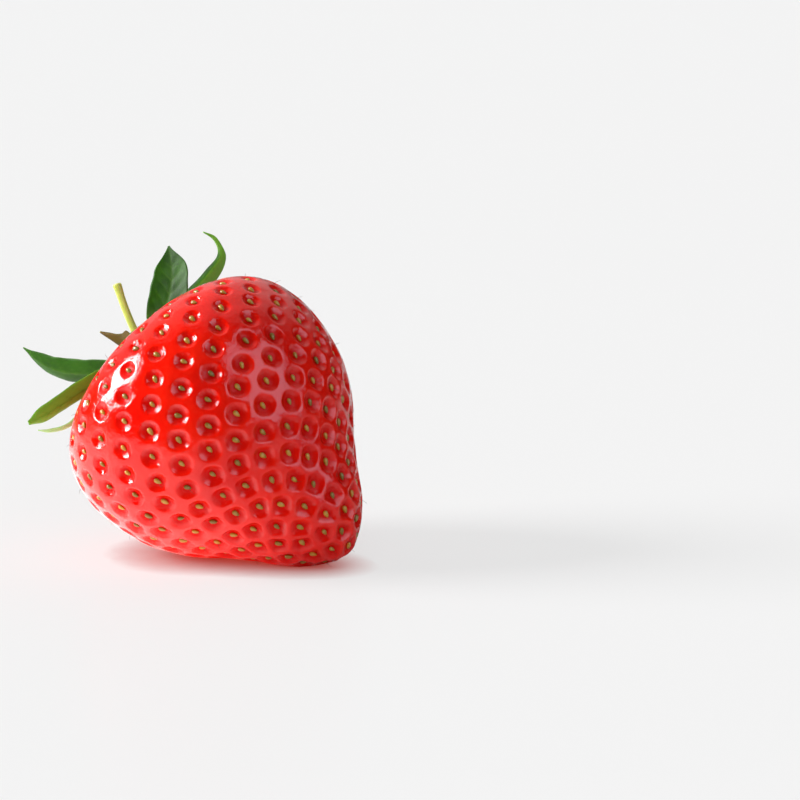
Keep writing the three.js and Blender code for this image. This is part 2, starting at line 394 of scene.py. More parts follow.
# ---------------------------------------------------------------- finishes
@dataclass(frozen=True)
class RipeSkin:
    """Waxy skin of a ripe strawberry, thin and clear over wet red flesh.

    The wax gives sharp small highlights, the flesh lets light in so that shaded parts stay red. The
    pits are duller than the ridges.
    """

    ripe: str = "#F01D09"
    deep: str = "#E01005"
    # darker red in the pits, partly the flesh's own deeper red and partly painted shade
    hollow: str = "#D80C06"
    shoulder: str = "#F04A22"
    patch_mm: float = 9.0
    cell_mm: float = 0.45  # real skin cells are near 0.05 mm, too fine to show
    streak_mm: float = 1.1
    relief: float = 0.8
    relief_mm: float = 0.07
    roughness: tuple[float, float] = (0.06, 0.3)  # on the ridges and in the pits
    shine: tuple[float, float] = (0.5, 0.12)
    wet_flesh: float = 0.5
    light_reach: tuple[float, float, float] = (1.0, 0.16, 0.08)  # red travels furthest in the flesh
    light_reach_mm: float = 2.4

    def material(self) -> bpy.types.Material:
        """Build the skin's material.

        Returns:
            The new material.
        """
        material, tree, place = new_finish("ripe_strawberry_skin")
        shader = tree.nodes["Principled BSDF"]
        patch_mask = add_node(tree, "ShaderNodeMapRange", {"From Min": 0.35, "From Max": 0.65},
                              {"Value": noise(tree, place, self.patch_mm, 2.0)})
        red = mix_colours(tree, patch_mask.outputs["Result"], linear(self.ripe), linear(self.deep))
        neck = add_node(tree, "ShaderNodeAttribute", attribute_name="shoulder")
        red = mix_colours(tree, neck.outputs["Fac"], red, linear(self.shoulder))
        pit = add_node(tree, "ShaderNodeAttribute", attribute_name="hollow")
        # the pits darken the red: partly their own deeper red, partly painted shade
        red = mix_colours(tree, pit.outputs["Fac"], red, linear(self.hollow))
        tree.links.new(red, shader.inputs["Base Color"])

        grain = add_node(tree, "ShaderNodeMath", operation="ADD",
                         links={"Value": noise(tree, place, self.cell_mm, 3.0)})
        tree.links.new(noise(tree, place, self.streak_mm, 2.0), grain.inputs[1])
        roughen(tree, grain.outputs["Value"], self.relief, self.relief_mm)
        changes = {"Roughness": self.roughness, "Specular IOR Level": self.shine}
        for socket, (on_ridge, in_pit) in changes.items():
            gloss = add_node(tree, "ShaderNodeMapRange",
                             {"From Min": 0.4, "From Max": 0.8, "To Min": on_ridge, "To Max": in_pit},
                             {"Value": pit.outputs["Fac"]})
            tree.links.new(gloss.outputs["Result"], shader.inputs[socket])
        shader.inputs["IOR"].default_value = 1.42
        shader.inputs["Subsurface Weight"].default_value = self.wet_flesh
        shader.inputs["Subsurface Radius"].default_value = self.light_reach
        shader.inputs["Subsurface Scale"].default_value = self.light_reach_mm * MM
        return material


@dataclass(frozen=True)
class AcheneCoat:
    """Hard dry coat of a strawberry's seed, straw yellow to olive and faintly ribbed."""

    straw: str = "#C8942E"
    olive: str = "#746018"
    rib_mm: float = 0.25

    def material(self) -> bpy.types.Material:
        """Build the seeds' material.

        Returns:
            The new material.
        """
        material, tree, place = new_finish("achene_coat")
        shader = tree.nodes["Principled BSDF"]
        ripeness = add_node(tree, "ShaderNodeAttribute", attribute_name="ripeness")
        speckle = noise(tree, place, self.rib_mm, 2.0)
        base = mix_colours(tree, ripeness.outputs["Fac"], linear(self.straw), linear(self.olive))
        shade = add_node(tree, "ShaderNodeMapRange", {"From Min": 0.3, "From Max": 0.8, "To Max": 0.45},
                         {"Value": speckle})
        base = mix_colours(tree, shade.outputs["Result"], base, linear(self.olive))
        tree.links.new(base, shader.inputs["Base Color"])
        roughen(tree, speckle, 0.4, 0.03)
        shader.inputs["Roughness"].default_value = 0.3
        shader.inputs["IOR"].default_value = 1.5
        return material


@dataclass(frozen=True)
class PlantSkin:
    """Living or dried leaf and stem skin: a waxy upper side, a paler matt under side, pale veins."""

    name: str
    upper: str
    shade: str
    under: str
    vein: str
    foot: str
    roughness: float = 0.4
    shine: float = 0.5
    glow: float = 0.25
    patch_mm: float = 3.5
    cell_mm: float = 0.22

    def material(self) -> bpy.types.Material:
        """Build the material, coloured by the piece's corner tags `under`, `vein` and `foot`.

        Returns:
            The new material.
        """
        material, tree, place = new_finish(self.name)
        shader = tree.nodes["Principled BSDF"]
        mask = add_node(tree, "ShaderNodeMapRange", {"From Min": 0.38, "From Max": 0.66},
                        {"Value": noise(tree, place, self.patch_mm, 3.0)})
        green = mix_colours(tree, mask.outputs["Result"], linear(self.upper), linear(self.shade))
        for tag, colour in (("under", self.under), ("foot", self.foot), ("vein", self.vein)):
            share = add_node(tree, "ShaderNodeAttribute", attribute_name=tag)
            green = mix_colours(tree, share.outputs["Fac"], green, linear(colour))
        tree.links.new(green, shader.inputs["Base Color"])
        cells = add_node(tree, "ShaderNodeTexVoronoi", {"Scale": 1 / (self.cell_mm * MM)},
                         {"Vector": place})
        roughen(tree, cells.outputs["Distance"], 0.35, 0.02)
        shader.inputs["Roughness"].default_value = self.roughness
        shader.inputs["IOR"].default_value = 1.36
        shader.inputs["Specular IOR Level"].default_value = self.shine
        shader.inputs["Subsurface Weight"].default_value = self.glow
        shader.inputs["Subsurface Radius"].default_value = (0.6, 1.0, 0.15)
        shader.inputs["Subsurface Scale"].default_value = 0.5 * MM
        return material


WITHERED = PlantSkin("withered_style", upper="#6B3A1C", shade="#4A2412", under="#6B3A1C",
                     vein="#6B3A1C", foot="#6B3A1C", roughness=0.6, glow=0.0)


class Finish(Enum):
    """The finishes of the leaves and the stem."""

    SEPAL = PlantSkin("sepal_leaf", upper="#2C5A06", shade="#1E4404", under="#6C9C30",
                      vein="#426C18", foot="#6E9436", roughness=0.45, shine=0.15)
    BRACTLET = PlantSkin("bractlet_leaf", upper="#7C9E50", shade="#658A3E", under="#9DB873",
                         vein="#A9C283", foot="#A4B46A")
    DRIED = PlantSkin("dried_leaf", upper="#4A5208", shade="#3C2006", under="#5A440C",
                      vein="#4E4010", foot="#66601A", roughness=0.6, shine=0.15, patch_mm=1.6)
    STEM = PlantSkin("stem_skin", upper="#CBD264", shade="#B4C250", under="#DDE08C",
                     vein="#DADC84", foot="#A9B84E", roughness=0.42, patch_mm=2.5)


# ---------------------------------------------------------------- fruit and seeds
@dataclass
class Pits:
    """The seed pits on the growth spiral, one golden turn apart at equal steps of weighted area."""

    form: BerryForm
    count: int = 380
    tip_crowding: float = 0.7
    tip_reach: float = 35.0
    bare_calyx: float = 168.0
    rings: int = 360
    depth: float = 0.85
    shoulder_depth: float = 0.72
    shoulder_width: float = 0.74
    shallower_from_tip: tuple[float, float] = (70.0, 130.0)
    narrower_from_tip: tuple[float, float] = (76.0, 118.0)
    widest: float = 1.72
    ridge: float = 0.24
    corner_rounding: float = 0.35
    bowl: float = 2.5
    rim_rounding: float = 0.06
    neighbours: int = 8
    rim_reach: float = 0.55
    rim_pull: float = 0.105
    unevenness: float = 0.09
    drift: float = 0.2
    pressed_below: float = 0.3
    seed: int = 11
    directions: np.ndarray = field(init=False)
    points: np.ndarray = field(init=False)
    axes: tuple[np.ndarray, np.ndarray, np.ndarray] = field(init=False)
    depths: np.ndarray = field(init=False)
    reaches: np.ndarray = field(init=False)
    widths: np.ndarray = field(init=False)

    def __post_init__(self) -> None:
        """Place the pits and give each its own size and depth."""
        draw = np.random.default_rng(self.seed)
        directions = self._spiral()
        across, upward, _ = self.form.skin_axes(directions)
        reach = np.linalg.norm(self.form.skin(directions) - [0, 0, self.form.heart_height], axis=1)
        moves = draw.uniform(-self.drift, self.drift, (len(directions), 2)) / reach[:, None]
        directions = unit(directions + across * moves[:, :1] + upward * moves[:, 1:])
        height = self.form.lay_down(self.form.skin(directions))[:, 2] / MM
        depths = self.depth * (1 + draw.uniform(-self.unevenness, self.unevenness, len(directions)))
        free = height > self.pressed_below
        self.directions = directions[free]
        self.points = self.form.skin(self.directions)
        from_tip = np.degrees(np.arccos(np.clip(-self.directions[:, 2], -1, 1)))
        self.widths = self.widest * np.interp(from_tip, self.narrower_from_tip, (1, self.shoulder_width))
        self.axes = self.form.skin_axes(self.directions)
        self.reaches = self.inside(self.points)[0]
        shallower = np.interp(from_tip, self.shallower_from_tip, (1, self.shoulder_depth))
        self.depths = depths[free] * np.clip(self.reaches / self.widest, 0, 1) * shallower

    def _spiral(self) -> np.ndarray:
        """Lay out the even spiral of pit directions.

        Returns:
            Unit directions, from the tip to the calyx.
        """
        ring_step = self.bare_calyx / self.rings
        from_tip = (np.arange(self.rings) + 0.5) * ring_step
        distance = np.linalg.norm(self.form.skin(self.form.direction(from_tip, np.zeros(self.rings)))
                                  - [0, 0, self.form.heart_height], axis=1)
        crowding = 1 + self.tip_crowding * np.exp(-(from_tip / self.tip_reach) ** 2)
        area = np.cumsum(distance ** 2 * np.sin(np.radians(from_tip)) * crowding)
        wanted = (np.arange(self.count) + 0.5) / self.count * area[-1]
        ring_ends = (np.arange(self.rings) + 1) * ring_step
        angles = np.interp(wanted, np.concatenate([[0], area]), np.concatenate([[0], ring_ends]))
        return self.form.direction(angles, np.arange(self.count) * GOLDEN_TURN)

    def inside(self, points: np.ndarray) -> tuple[np.ndarray, np.ndarray]:
        """Measure how far inside their pit's rim points lie.

        A pit is round where it stands free and straight-sided where it meets its neighbours, so that
        an even ridge stays between them.

        Args:
            points: points of the smooth skin.

        Returns:
            Distances inside the rim, below zero on the ridges, and the number of each one's pit.
        """
        distances, pits = [], []
        for part in np.array_split(points, max(1, len(points) // 4000)):
            square = ((part ** 2).sum(1)[:, None] + (self.points ** 2).sum(1)[None, :]
                      - 2 * part @ self.points.T)
            near = np.argpartition(square, self.neighbours, axis=1)[:, :self.neighbours]
            square = np.take_along_axis(square, near, axis=1)
            order = np.argsort(square, axis=1)
            near = np.take_along_axis(near, order, axis=1)
            square = np.maximum(np.take_along_axis(square, order, axis=1), 0)
            apart = np.linalg.norm(self.points[near[:, 1:]] - self.points[near[:, :1]], axis=2)
            border = ((square[:, 1:] - square[:, :1]) / (2 * apart)).min(axis=1) - self.ridge
            free = self.widths[near[:, 0]] - np.sqrt(square[:, 0])
            gap = np.clip(0.5 + 0.5 * (border - free) / self.corner_rounding, 0, 1)
            distances.append(border * (1 - gap) + free * gap - self.corner_rounding * gap * (1 - gap))
            pits.append(near[:, 0])
        return np.concatenate(distances), np.concatenate(pits)

    def crowd_rims(self, points: np.ndarray) -> np.ndarray:
        """Draw points of the skin towards the nearest rim, where the skin bends most.

        Args:
            points: points of the smooth skin.

        Returns:
            The moved points, still close to the skin.
        """
        distance, pit = self.inside(points)
        outward = unit(points - self.points[pit])
        share = np.clip(distance / self.rim_reach, -1, 1)
        return points + outward * (self.rim_pull * np.sin(math.pi * share))[:, None]

    def hollow(self, points: np.ndarray) -> tuple[np.ndarray, np.ndarray]:
        """Find how far the pits sink the skin.

        Args:
            points: points of the smooth skin.

        Returns:
            The depth at each point, and the same as a share of its pit's full depth.
        """
        distance, pit = self.inside(points)
        share = distance / self.reaches[pit]
        share = 0.5 * (share + np.sqrt(share ** 2 + self.rim_rounding ** 2))
        bowl = 1 - np.clip(1 - share, 0, 1) ** self.bowl
        return self.depths[pit] * bowl, bowl


@dataclass
class Fruit:
    """The fruit's skin: a fine even net of points, pitted, slightly uneven and pressed flat below."""

    form: BerryForm
    pits: Pits
    cells: int = 150
    ripple_mm: float = 0.02
    ripple_waves: int = 14
    ripple_length: tuple[float, float] = (2.6, 7.0)
    shoulder_start: float = 148.0
    seed: int = 5

    def net(self) -> tuple[np.ndarray, np.ndarray]:
        """Cover a ball with the six gridded sides of a cube.

        Returns:
            Unit directions, and squares of direction numbers.
        """
        steps = np.tan(np.linspace(-0.25, 0.25, self.cells + 1) * math.pi)
        u, v = np.meshgrid(steps, steps, indexing="ij")
        corner = np.arange((self.cells + 1) ** 2).reshape(self.cells + 1, self.cells + 1)
        squares = np.stack([corner[:-1, :-1], corner[1:, :-1], corner[1:, 1:], corner[:-1, 1:]],
                           axis=-1).reshape(-1, 4)
        sides, faces = [], []
        for axis in range(3):
            for sign in (1, -1):
                side = np.zeros((u.size, 3))
                side[:, axis] = sign
                side[:, (axis + 1) % 3] = u.ravel()
                side[:, (axis + 2) % 3] = v.ravel()
                faces.append((squares if sign > 0 else squares[:, ::-1]) + len(sides) * u.size)
                sides.append(side)
        points, index = np.unique(np.round(np.concatenate(sides), 9), axis=0, return_inverse=True)
        return unit(points), index.ravel()[np.concatenate(faces)]

    def ripple(self, points: np.ndarray) -> np.ndarray:
        """Work out the skin's slight natural unevenness.

        Args:
            points: points of the smooth skin.

        Returns:
            A rise for each point, in millimetres.
        """
        draw = np.random.default_rng(self.seed)
        rise = np.zeros(len(points))
        for _ in range(self.ripple_waves):
            way = unit(draw.normal(size=3)) * 2 * math.pi / draw.uniform(*self.ripple_length)
            rise += np.sin(points @ way + draw.uniform(0, 2 * math.pi))
        return rise * self.ripple_mm / math.sqrt(self.ripple_waves / 2)

    def build(self) -> bpy.types.Object:
        """Make the pitted skin.

        Returns:
            The fruit's mesh object.
        """
        directions, squares = self.net()
        heart = np.array([0, 0, self.form.heart_height])
        directions = unit(self.pits.crowd_rims(self.form.skin(directions)) - heart)
        smooth = self.form.skin(directions)
        outward = self.form.skin_axes(directions)[2]
        sunk, share = self.pits.hollow(smooth)
        points = self.form.lay_down(smooth + outward * (self.ripple(smooth) - sunk)[:, None])
        pressed = self.form.lay_down(smooth)[:, 2] <= 0
        points[:, 2] = np.where(pressed, 0, np.maximum(points[:, 2], 0))
        from_tip = np.degrees(np.arccos(np.clip(-directions[:, 2], -1, 1)))
        shoulder = np.clip((from_tip - self.shoulder_start) / (180 - self.shoulder_start), 0, 1)
        return make_piece("ripe_fruit", points, squares, {"hollow": share, "shoulder": shoulder})

    def dress(self, piece: bpy.types.Object) -> None:
        """Give the fruit its skin."""
        settle_in(piece, RipeSkin().material(), "strawberry_skin", "fruit")


@dataclass
class Achenes:
    """The seeds, one in each pit, and the dried styles that some of them keep."""

    form: BerryForm
    pits: Pits
    half_length: float = 0.57
    half_width: float = 0.34
    half_thickness: float = 0.28
    narrowing: float = 0.3
    seat: float = 0.14
    rings: int = 9
    sides: int = 12
    twist: float = 0.22  # radians, as a standard deviation
    sizes: tuple[float, float] = (0.86, 1.1)
    style_share: float = 0.4
    style_length: tuple[float, float] = (0.5, 1.3)
    style_radius: float = 0.035
    style_points: int = 5
    style_sides: int = 5
    style_taper: float = 0.7
    style_root: tuple[float, float] = (0.8, 0.3)  # share of half_thickness up, mm ahead
    style_sway: float = 0.5
    style_lean: tuple[float, float] = (0.2, 1.0)
    style_rise: float = 0.9
    style_bend: float = 0.7
    seed: int = 23

    def grain(self) -> tuple[np.ndarray, list[tuple[int, ...]]]:
        """Shape one seed, a drop with its point towards the tip of the berry.

        Returns:
            Corners across, along and out of the skin, and faces.
        """
        turns = np.arange(self.sides) * 2 * math.pi / self.sides
        rows = [np.array([[0, -self.half_length, 0]])]
        for i in range(1, self.rings):
            along = -math.cos(math.pi * i / self.rings)
            girth = math.sqrt(1 - along ** 2) * (1 + self.narrowing * along)
            rows.append(np.stack([self.half_width * girth * np.cos(turns),
                                  np.full(self.sides, self.half_length * along),
                                  self.half_thickness * girth * np.sin(turns)], axis=-1))
        rows.append(np.array([[0, self.half_length, 0]]))
        return np.concatenate(rows), capped_faces(self.rings - 1, self.sides, mirrored=True)

    def build(self) -> tuple[bpy.types.Object, bpy.types.Object]:
        """Make the seeds and their styles.

        Returns:
            The mesh object of all the seeds and that of all the styles.
        """
        draw = np.random.default_rng(self.seed)
        shape, shape_faces = self.grain()
        across, upward, outward = self.pits.axes
        seeds, faces, ripeness, lines = [], [], [], []
        for k, point in enumerate(self.pits.points):
            twist = draw.normal(0, self.twist)
            side = across[k] * math.cos(twist) + upward[k] * math.sin(twist)
            along = upward[k] * math.cos(twist) - across[k] * math.sin(twist)
            size = draw.uniform(*self.sizes)
            centre = point - outward[k] * (self.pits.depths[k] - self.seat)
            local = shape * size
            seeds.append(centre + local[:, :1] * side + local[:, 1:2] * along + local[:, 2:] * outward[k])
            faces += [tuple(i + k * len(shape) for i in face) for face in shape_faces]
            ripeness += [draw.uniform(0, 1)] * len(shape)
            if draw.uniform() < self.style_share:
                length = draw.uniform(*self.style_length)
                lean = side * draw.uniform(-self.style_sway, self.style_sway)
                lean = (lean - along * draw.uniform(*self.style_lean)) * self.style_bend
                rise = outward[k] * self.style_rise
                up, ahead = self.style_root
                root = centre + outward[k] * self.half_thickness * up - along * ahead
                lines.append([root + length * (s * rise + s * s * lean)
                              for s in np.linspace(0, 1, self.style_points)])
        grains = make_piece("achenes", self.on_table(np.concatenate(seeds)), faces,
                            {"ripeness": np.array(ripeness)})
        return grains, self.styles(lines)

    def on_table(self, points: np.ndarray) -> np.ndarray:
        """Lay points down with the berry, pressed to the table where they would go below it.

        Args:
            points: points as grown, in millimetres.

        Returns:
            The same points in the shared frame.
        """
        laid = self.form.lay_down(points)
        laid[:, 2] = np.maximum(laid[:, 2], 0)
        return laid

    def styles(self, lines: list[list[np.ndarray]]) -> bpy.types.Object:
        """Make the styles as thin tapering hairs.

        Args:
            lines: the points that each hair follows.

        Returns:
            The mesh object of all the hairs.
        """
        corners = self.style_sides
        points: list[np.ndarray] = []
        faces: list[tuple[int, ...]] = []
        for line in lines:
            start = len(points)
            way = unit(line[-1] - line[0])
            side = unit(np.cross(way, (0.3, 0.5, 0.8)))
            ring = circle(corners, side, np.cross(way, side))
            for i, point in enumerate(line):
                taper = 1 - self.style_taper * i / (len(line) - 1)
                points += list(point + self.style_radius * taper * ring)
            faces += tube_faces(len(line), corners, start)
            faces.append(tuple(start + j for j in reversed(range(corners))))
            faces.append(tuple(start + (len(line) - 1) * corners + j for j in range(corners)))
        return make_piece("achene_styles", self.on_table(np.array(points)), faces,
                          {tag: np.zeros(len(points)) for tag in ("under", "vein", "foot")})

    def dress(self, grains: bpy.types.Object, styles: bpy.types.Object) -> None:
        """Give the seeds their coat and the styles their dry brown.

        Args:
            grains: the mesh object of all the seeds.
            styles: the mesh object of all the styles.
        """
        settle_in(grains, AcheneCoat().material(), "strawberry_skin")
        settle_in(styles, WITHERED.material(), "dried_leaf")


# ---------------------------------------------------------------- calyx and stem
@dataclass(frozen=True)
class Leaf:
    """One leaf of the calyx, as the CAD model places it, with its own edge and surface.

    `pale_half` picks the side of the midrib, -1 or 1, that has the pale colour of the under side all
    round, and `pale_from` is where along the leaf its pale tip starts.
    `line` is its midrib as distance from the axis, sideways and height above the calyx; `roll` turns
    the blade about the midrib, from foot to tip in degrees; `cup` is how far its edges bend off it and
    `fold` how far a straight fold along the midrib lifts them. `around` is its place round the axis in
    degrees and `shape` its width from foot to tip as a share of `half_width`.
    """

    node: str
    around: float
    half_width: float
    cup: float
    roll: tuple[float, ...]
    line: tuple[tuple[float, float, float], ...]
    fold: float = 0.0
    finish: Finish = Finish.SEPAL
    ruffle: float = 0.06
    flipped: bool = False
    pale_half: int = 0
    pale_from: float = 2.0
    shape: tuple[float, ...] = (0.22, 0.66, 0.95, 1, 0.84, 0.5, 0.06)
    seed: int = 0


BLADE_START = 2.75
BROAD = (0.28, 0.6, 0.88, 1, 1, 0.8, 0.05)
FOLDED = (0.4, 0.85, 1, 0.8, 0.34, 0.24, 0.06)
BLUNT = (0.22, 0.7, 1, 1, 0.95, 0.8, 0.25)
RAGGED = (0.3, 0.7, 1, 0.9, 1, 0.6, 0.08)
LEAVES = (
    Leaf("sepal_1", 25, 3.1, 0.6, (30, 75, 80, 80, 80),
         ((BLADE_START, 0, 1), (4.6, 0, 2.6), (7.7, 0, 4), (10.7, 0, 6.3), (13.4, 0, 9.9)),
         shape=BROAD, seed=1),
    Leaf("sepal_2", 50, 1.5, 0, (30, 65, 70, 60, 30, 10),
         ((BLADE_START, 0, 1), (8.6, 0, 3.6), (15.2, 0, 4.8), (19.4, 0, 6.3), (20.4, 0, 8.7),
          (20, 0, 10.8)), fold=-1, shape=FOLDED, pale_half=-1, pale_from=0.6, seed=2),
    Leaf("bractlet_3", 80, 0.9, 0.3, (0, 0, 10, 20),
         ((BLADE_START, 0, 0.9), (8, 0, 1.8), (13, 0, 2.3), (16.5, 0, 4.2)),
         finish=Finish.BRACTLET, seed=3),
    Leaf("sepal_5", 105, 3.0, 0.5, (0, 0, -5, 5),
         ((BLADE_START, 0, 1), (8, 0, 1.3), (13.5, 0, 0.8), (17.5, 0.4, -0.9), (20, 1, -2.4)), seed=4),
    Leaf("bractlet_4", 134, 1.0, 0.3, (0, 5, 10),
         ((BLADE_START, 0, 0.9), (8.5, 0, 1.7), (13.5, 0, 1.5), (16.5, 0, 2.4)),
         finish=Finish.BRACTLET, seed=5),
    Leaf("bractlet_2", 162, 1.8, 0.6, (0, 45, 80, 85),
         ((BLADE_START, 0, 0.9), (2.5, 0, 2.6), (2, 0, 3.8), (3, 0, 5.4), (4.7, 0, 9.6)),
         finish=Finish.DRIED, ruffle=0.35, shape=RAGGED, seed=6),
    Leaf("sepal_3", 185, 2.15, 0.5, (10, 50, 60, 60, 50),
         ((BLADE_START, 0, 1), (5.9, 0, 3.2), (9.2, 0, 5.9), (13.2, 0, 11.2), (14.4, 0, 15),
          (14.6, 0, 17.7)), flipped=True, seed=7),
    Leaf("bractlet_1", 207, 0.55, 0.2, (0, 0, 10, 20),
         ((BLADE_START, 0, 0.9), (9, 0, 1.5), (16, 0, 1.3), (18.9, 0, 2.9), (20.1, 0, 4.4)),
         finish=Finish.BRACTLET, seed=8),
    Leaf("sepal_4", 229, 1.5, 0.4, (0, 20, 30, 30, 30),
         ((BLADE_START, 0, 1), (6.8, 0, 1.6), (12.4, 0, 2.2), (18.1, 0, 2.6), (21.1, 0, 3.1)),
         shape=BLUNT, seed=9),
    Leaf("bractlet_5", 260, 0.9, 0.2, (0, 0, 0),
         ((BLADE_START, 0, 0.9), (6, 0, 1), (9, 0, 0.7)), finish=Finish.BRACTLET, seed=10),
    Leaf("sepal_6", 293, 2.3, 0.4, (0, 0, 5),
         ((BLADE_START, 0, 1), (6.5, 0, 1.2), (10.5, 0, 0.6)), seed=11),
    Leaf("bractlet_6", 340, 0.8, 0.2, (0, 0, 0),
         ((BLADE_START, 0, 0.9), (5.5, 0, 1), (8.5, 0, 0.7)), finish=Finish.BRACTLET, seed=12),
)


def rounded_line(points: np.ndarray, along: np.ndarray) -> np.ndarray:
    """Follow a smooth line through points, its speed eased by their distances.

    Args:
        points: the points that the line passes through.
        along: places on the line, 0 at its start and 1 at its end.

    Returns:
        The line's point at each place.
    """
    ends = np.vstack([2 * points[0] - points[1], points, 2 * points[-1] - points[-2]])
    spans = len(points) - 1
    place = np.clip(along, 0, 1) * spans
    result = []
    for value in place:
        span = min(int(value), spans - 1)
        f = value - span
        a, b, c, d = ends[span:span + 4]
        gaps = [math.sqrt(np.linalg.norm(q - p)) for p, q in ((a, b), (b, c), (c, d))]
        leave = ((b - a) / gaps[0] - (c - a) / (gaps[0] + gaps[1]) + (c - b) / gaps[1]) * gaps[1]
        arrive = ((c - b) / gaps[1] - (d - b) / (gaps[1] + gaps[2]) + (d - c) / gaps[2]) * gaps[1]
        result.append(b + leave * f + (3 * (c - b) - 2 * leave - arrive) * f ** 2
                      + (2 * (b - c) + leave + arrive) * f ** 3)
    return np.array(result)


@dataclass
class Calyx:
    """The ring of sepals and bractlets, the green disc they grow from and the cut stem.

    Lengths are in millimetres. Paleness is how strongly a corner tag shows, from 0 to 1.
    """

    form: BerryForm
    blade_thickness: float = 0.42
    foot_radius: float = 1.7
    length_steps: int = 64
    width_steps: int = 24
    vein_spacing: float = 2.1
    vein_slant: float = 1.1  # mm towards the tip for each mm outwards
    vein_width: float = 0.13
    disc_profile: tuple[tuple[float, float], ...] = ((0, 0), (2.1, 0), (2.38, 0.35), (1.95, 0.8),
                                                     (0.95, 1.1), (0, 1.2))
    disc_height: float = 0.75
    disc_lobes: int = 12
    disc_lobe: float = 0.05
    disc_least: float = 0.05
    disc_vein: float = 0.4
    disc_pale: float = 0.6
    stem_line: tuple[tuple[float, float, float], ...] = ((0, 0, 0), (0.8, 0.1, 2.3), (2.5, 0.2, 6),
                                                         (4.1, 0.4, 9))
    stem_height: float = 2.2
    stem_radius: float = 0.62
    stem_foot: float = 0.5
    stem_ribs: int = 5
    stem_rib: float = 0.035
    stem_waist: float = 0.1
    stem_end: float = 0.1
    stem_end_from: float = 0.8
    stem_rim: float = 0.9
    stem_cut: tuple[tuple[float, float], ...] = ((0.62, 0.02), (0.3, 0.14))  # share of radius, depth
    stem_vein: float = 0.15
    stem_pale: float = 0.6
    stem_pale_to: float = 0.625  # share of the stem's length
    edge_wave: float = 0.015
    edge_pace: tuple[float, float] = (1.9, 2.4)  # radians per mm, and between the two halves
    ruffle_pace: tuple[float, float] = (1.1, 1.7)  # the same
    fold_rounding: float = 0.1
    rib_width: float = 0.26
    rib_fade: float = 1.15
    branch_fade: float = 1.1
    branch_share: float = 0.6
    quilt: float = 0.015
    edge_thinning: float = 0.65  # share of the thickness lost at the edge
    tip_thickness: float = 0.4  # share of the thickness left at the tip
    rib_groove: float = 0.1
    rib_keel: float = 0.12
    branch_relief: float = 0.03
    vein_paleness: float = 0.75
    foot_paleness: float = 0.7
    foot_fade: float = 4.0  # mm from the foot
    pale_fade: float = 0.12  # share of the length or half width

    def place(self, points: np.ndarray) -> np.ndarray:
        """Move points from the calyx into the model's frame, in metres."""
        return self.form.lay_down(points + np.array([0, 0, self.form.calyx_height]))

    def blade(self, leaf: Leaf) -> bpy.types.Object:
        """Make one leaf as a closed thin blade with a midrib and side veins.

        Args:
            leaf: the leaf's place and shape.

        Returns:
            Its mesh object.
        """
        draw = np.random.default_rng(leaf.seed)
        turn = math.radians(leaf.around)
        outward = np.array([math.cos(turn), math.sin(turn), 0])
        sideways = np.array([-math.sin(turn), math.cos(turn), 0])
        anchors = np.array([outward * out + sideways * side + [0, 0, up] for out, side, up in leaf.line])
        along = np.linspace(0, 1, self.length_steps + 1)
        spine = rounded_line(anchors, along)
        tangent = unit(rounded_line(anchors, along + 0.002) - rounded_line(anchors, along - 0.002))
        flat = unit(sideways - tangent * (tangent @ sideways)[:, None])
        roll = np.radians(smooth_values(leaf.roll, along, leaf.roll[0], leaf.roll[-1]))[:, None]
        across = flat * np.cos(roll) + np.cross(tangent, flat) * np.sin(roll)
        normal = np.cross(tangent, across)
        share = smooth_values(leaf.shape, along, 0, 0)
        length = np.concatenate([[0], np.cumsum(np.linalg.norm(np.diff(spine, axis=0), axis=1))])

        reach = np.linspace(-1, 1, self.width_steps + 1)[None, :]
        wide = share[:, None]
        waves = draw.uniform(0, 2 * math.pi, 3)
        run = length[:, None]
        pace, apart = self.edge_pace
        edge = 1 + self.edge_wave * np.sin(run * pace + waves[0] + apart * np.sign(reach)) * np.abs(reach)
        offset = reach * wide * leaf.half_width * edge
        pace, apart = self.ruffle_pace
        ruffle = leaf.ruffle * reach ** 2 * wide * np.sin(run * pace + waves[1] + apart * np.sign(reach))
        bend = leaf.cup * reach ** 2 + leaf.fold * np.sqrt(reach ** 2 + self.fold_rounding ** 2)
        lift = bend * wide + ruffle
        middle = (spine[:, None, :] + across[:, None, :] * offset[..., None]
                  + normal[:, None, :] * lift[..., None])

        rib = np.exp(-(offset / self.rib_width) ** 2) * np.clip(self.rib_fade - along[:, None], 0, 1)
        phase = (run - self.vein_slant * np.abs(offset)) / self.vein_spacing + waves[2]
        near = np.abs(phase - np.round(phase)) * self.vein_spacing
        branch = np.exp(-(near / self.vein_width) ** 2) * wide
        branch *= np.clip(self.branch_fade - np.abs(reach), 0, 1)
        vein = np.clip(rib + self.branch_share * branch, 0, 1)
        quilt = self.quilt * np.cos(2 * math.pi * phase) * (1 - rib) * wide
        quilt = quilt * np.clip(leaf.half_width / 2, 0, 1) + self.branch_relief * branch
        tip = self.tip_thickness + (1 - self.tip_thickness) * wide
        half = self.blade_thickness / 2 * (1 - self.edge_thinning * reach ** 2) * tip
        upper = middle + normal[:, None, :] * (half - self.rib_groove * rib - quilt)[..., None]
        lower = middle - normal[:, None, :] * (half + self.rib_keel * rib + quilt)[..., None]

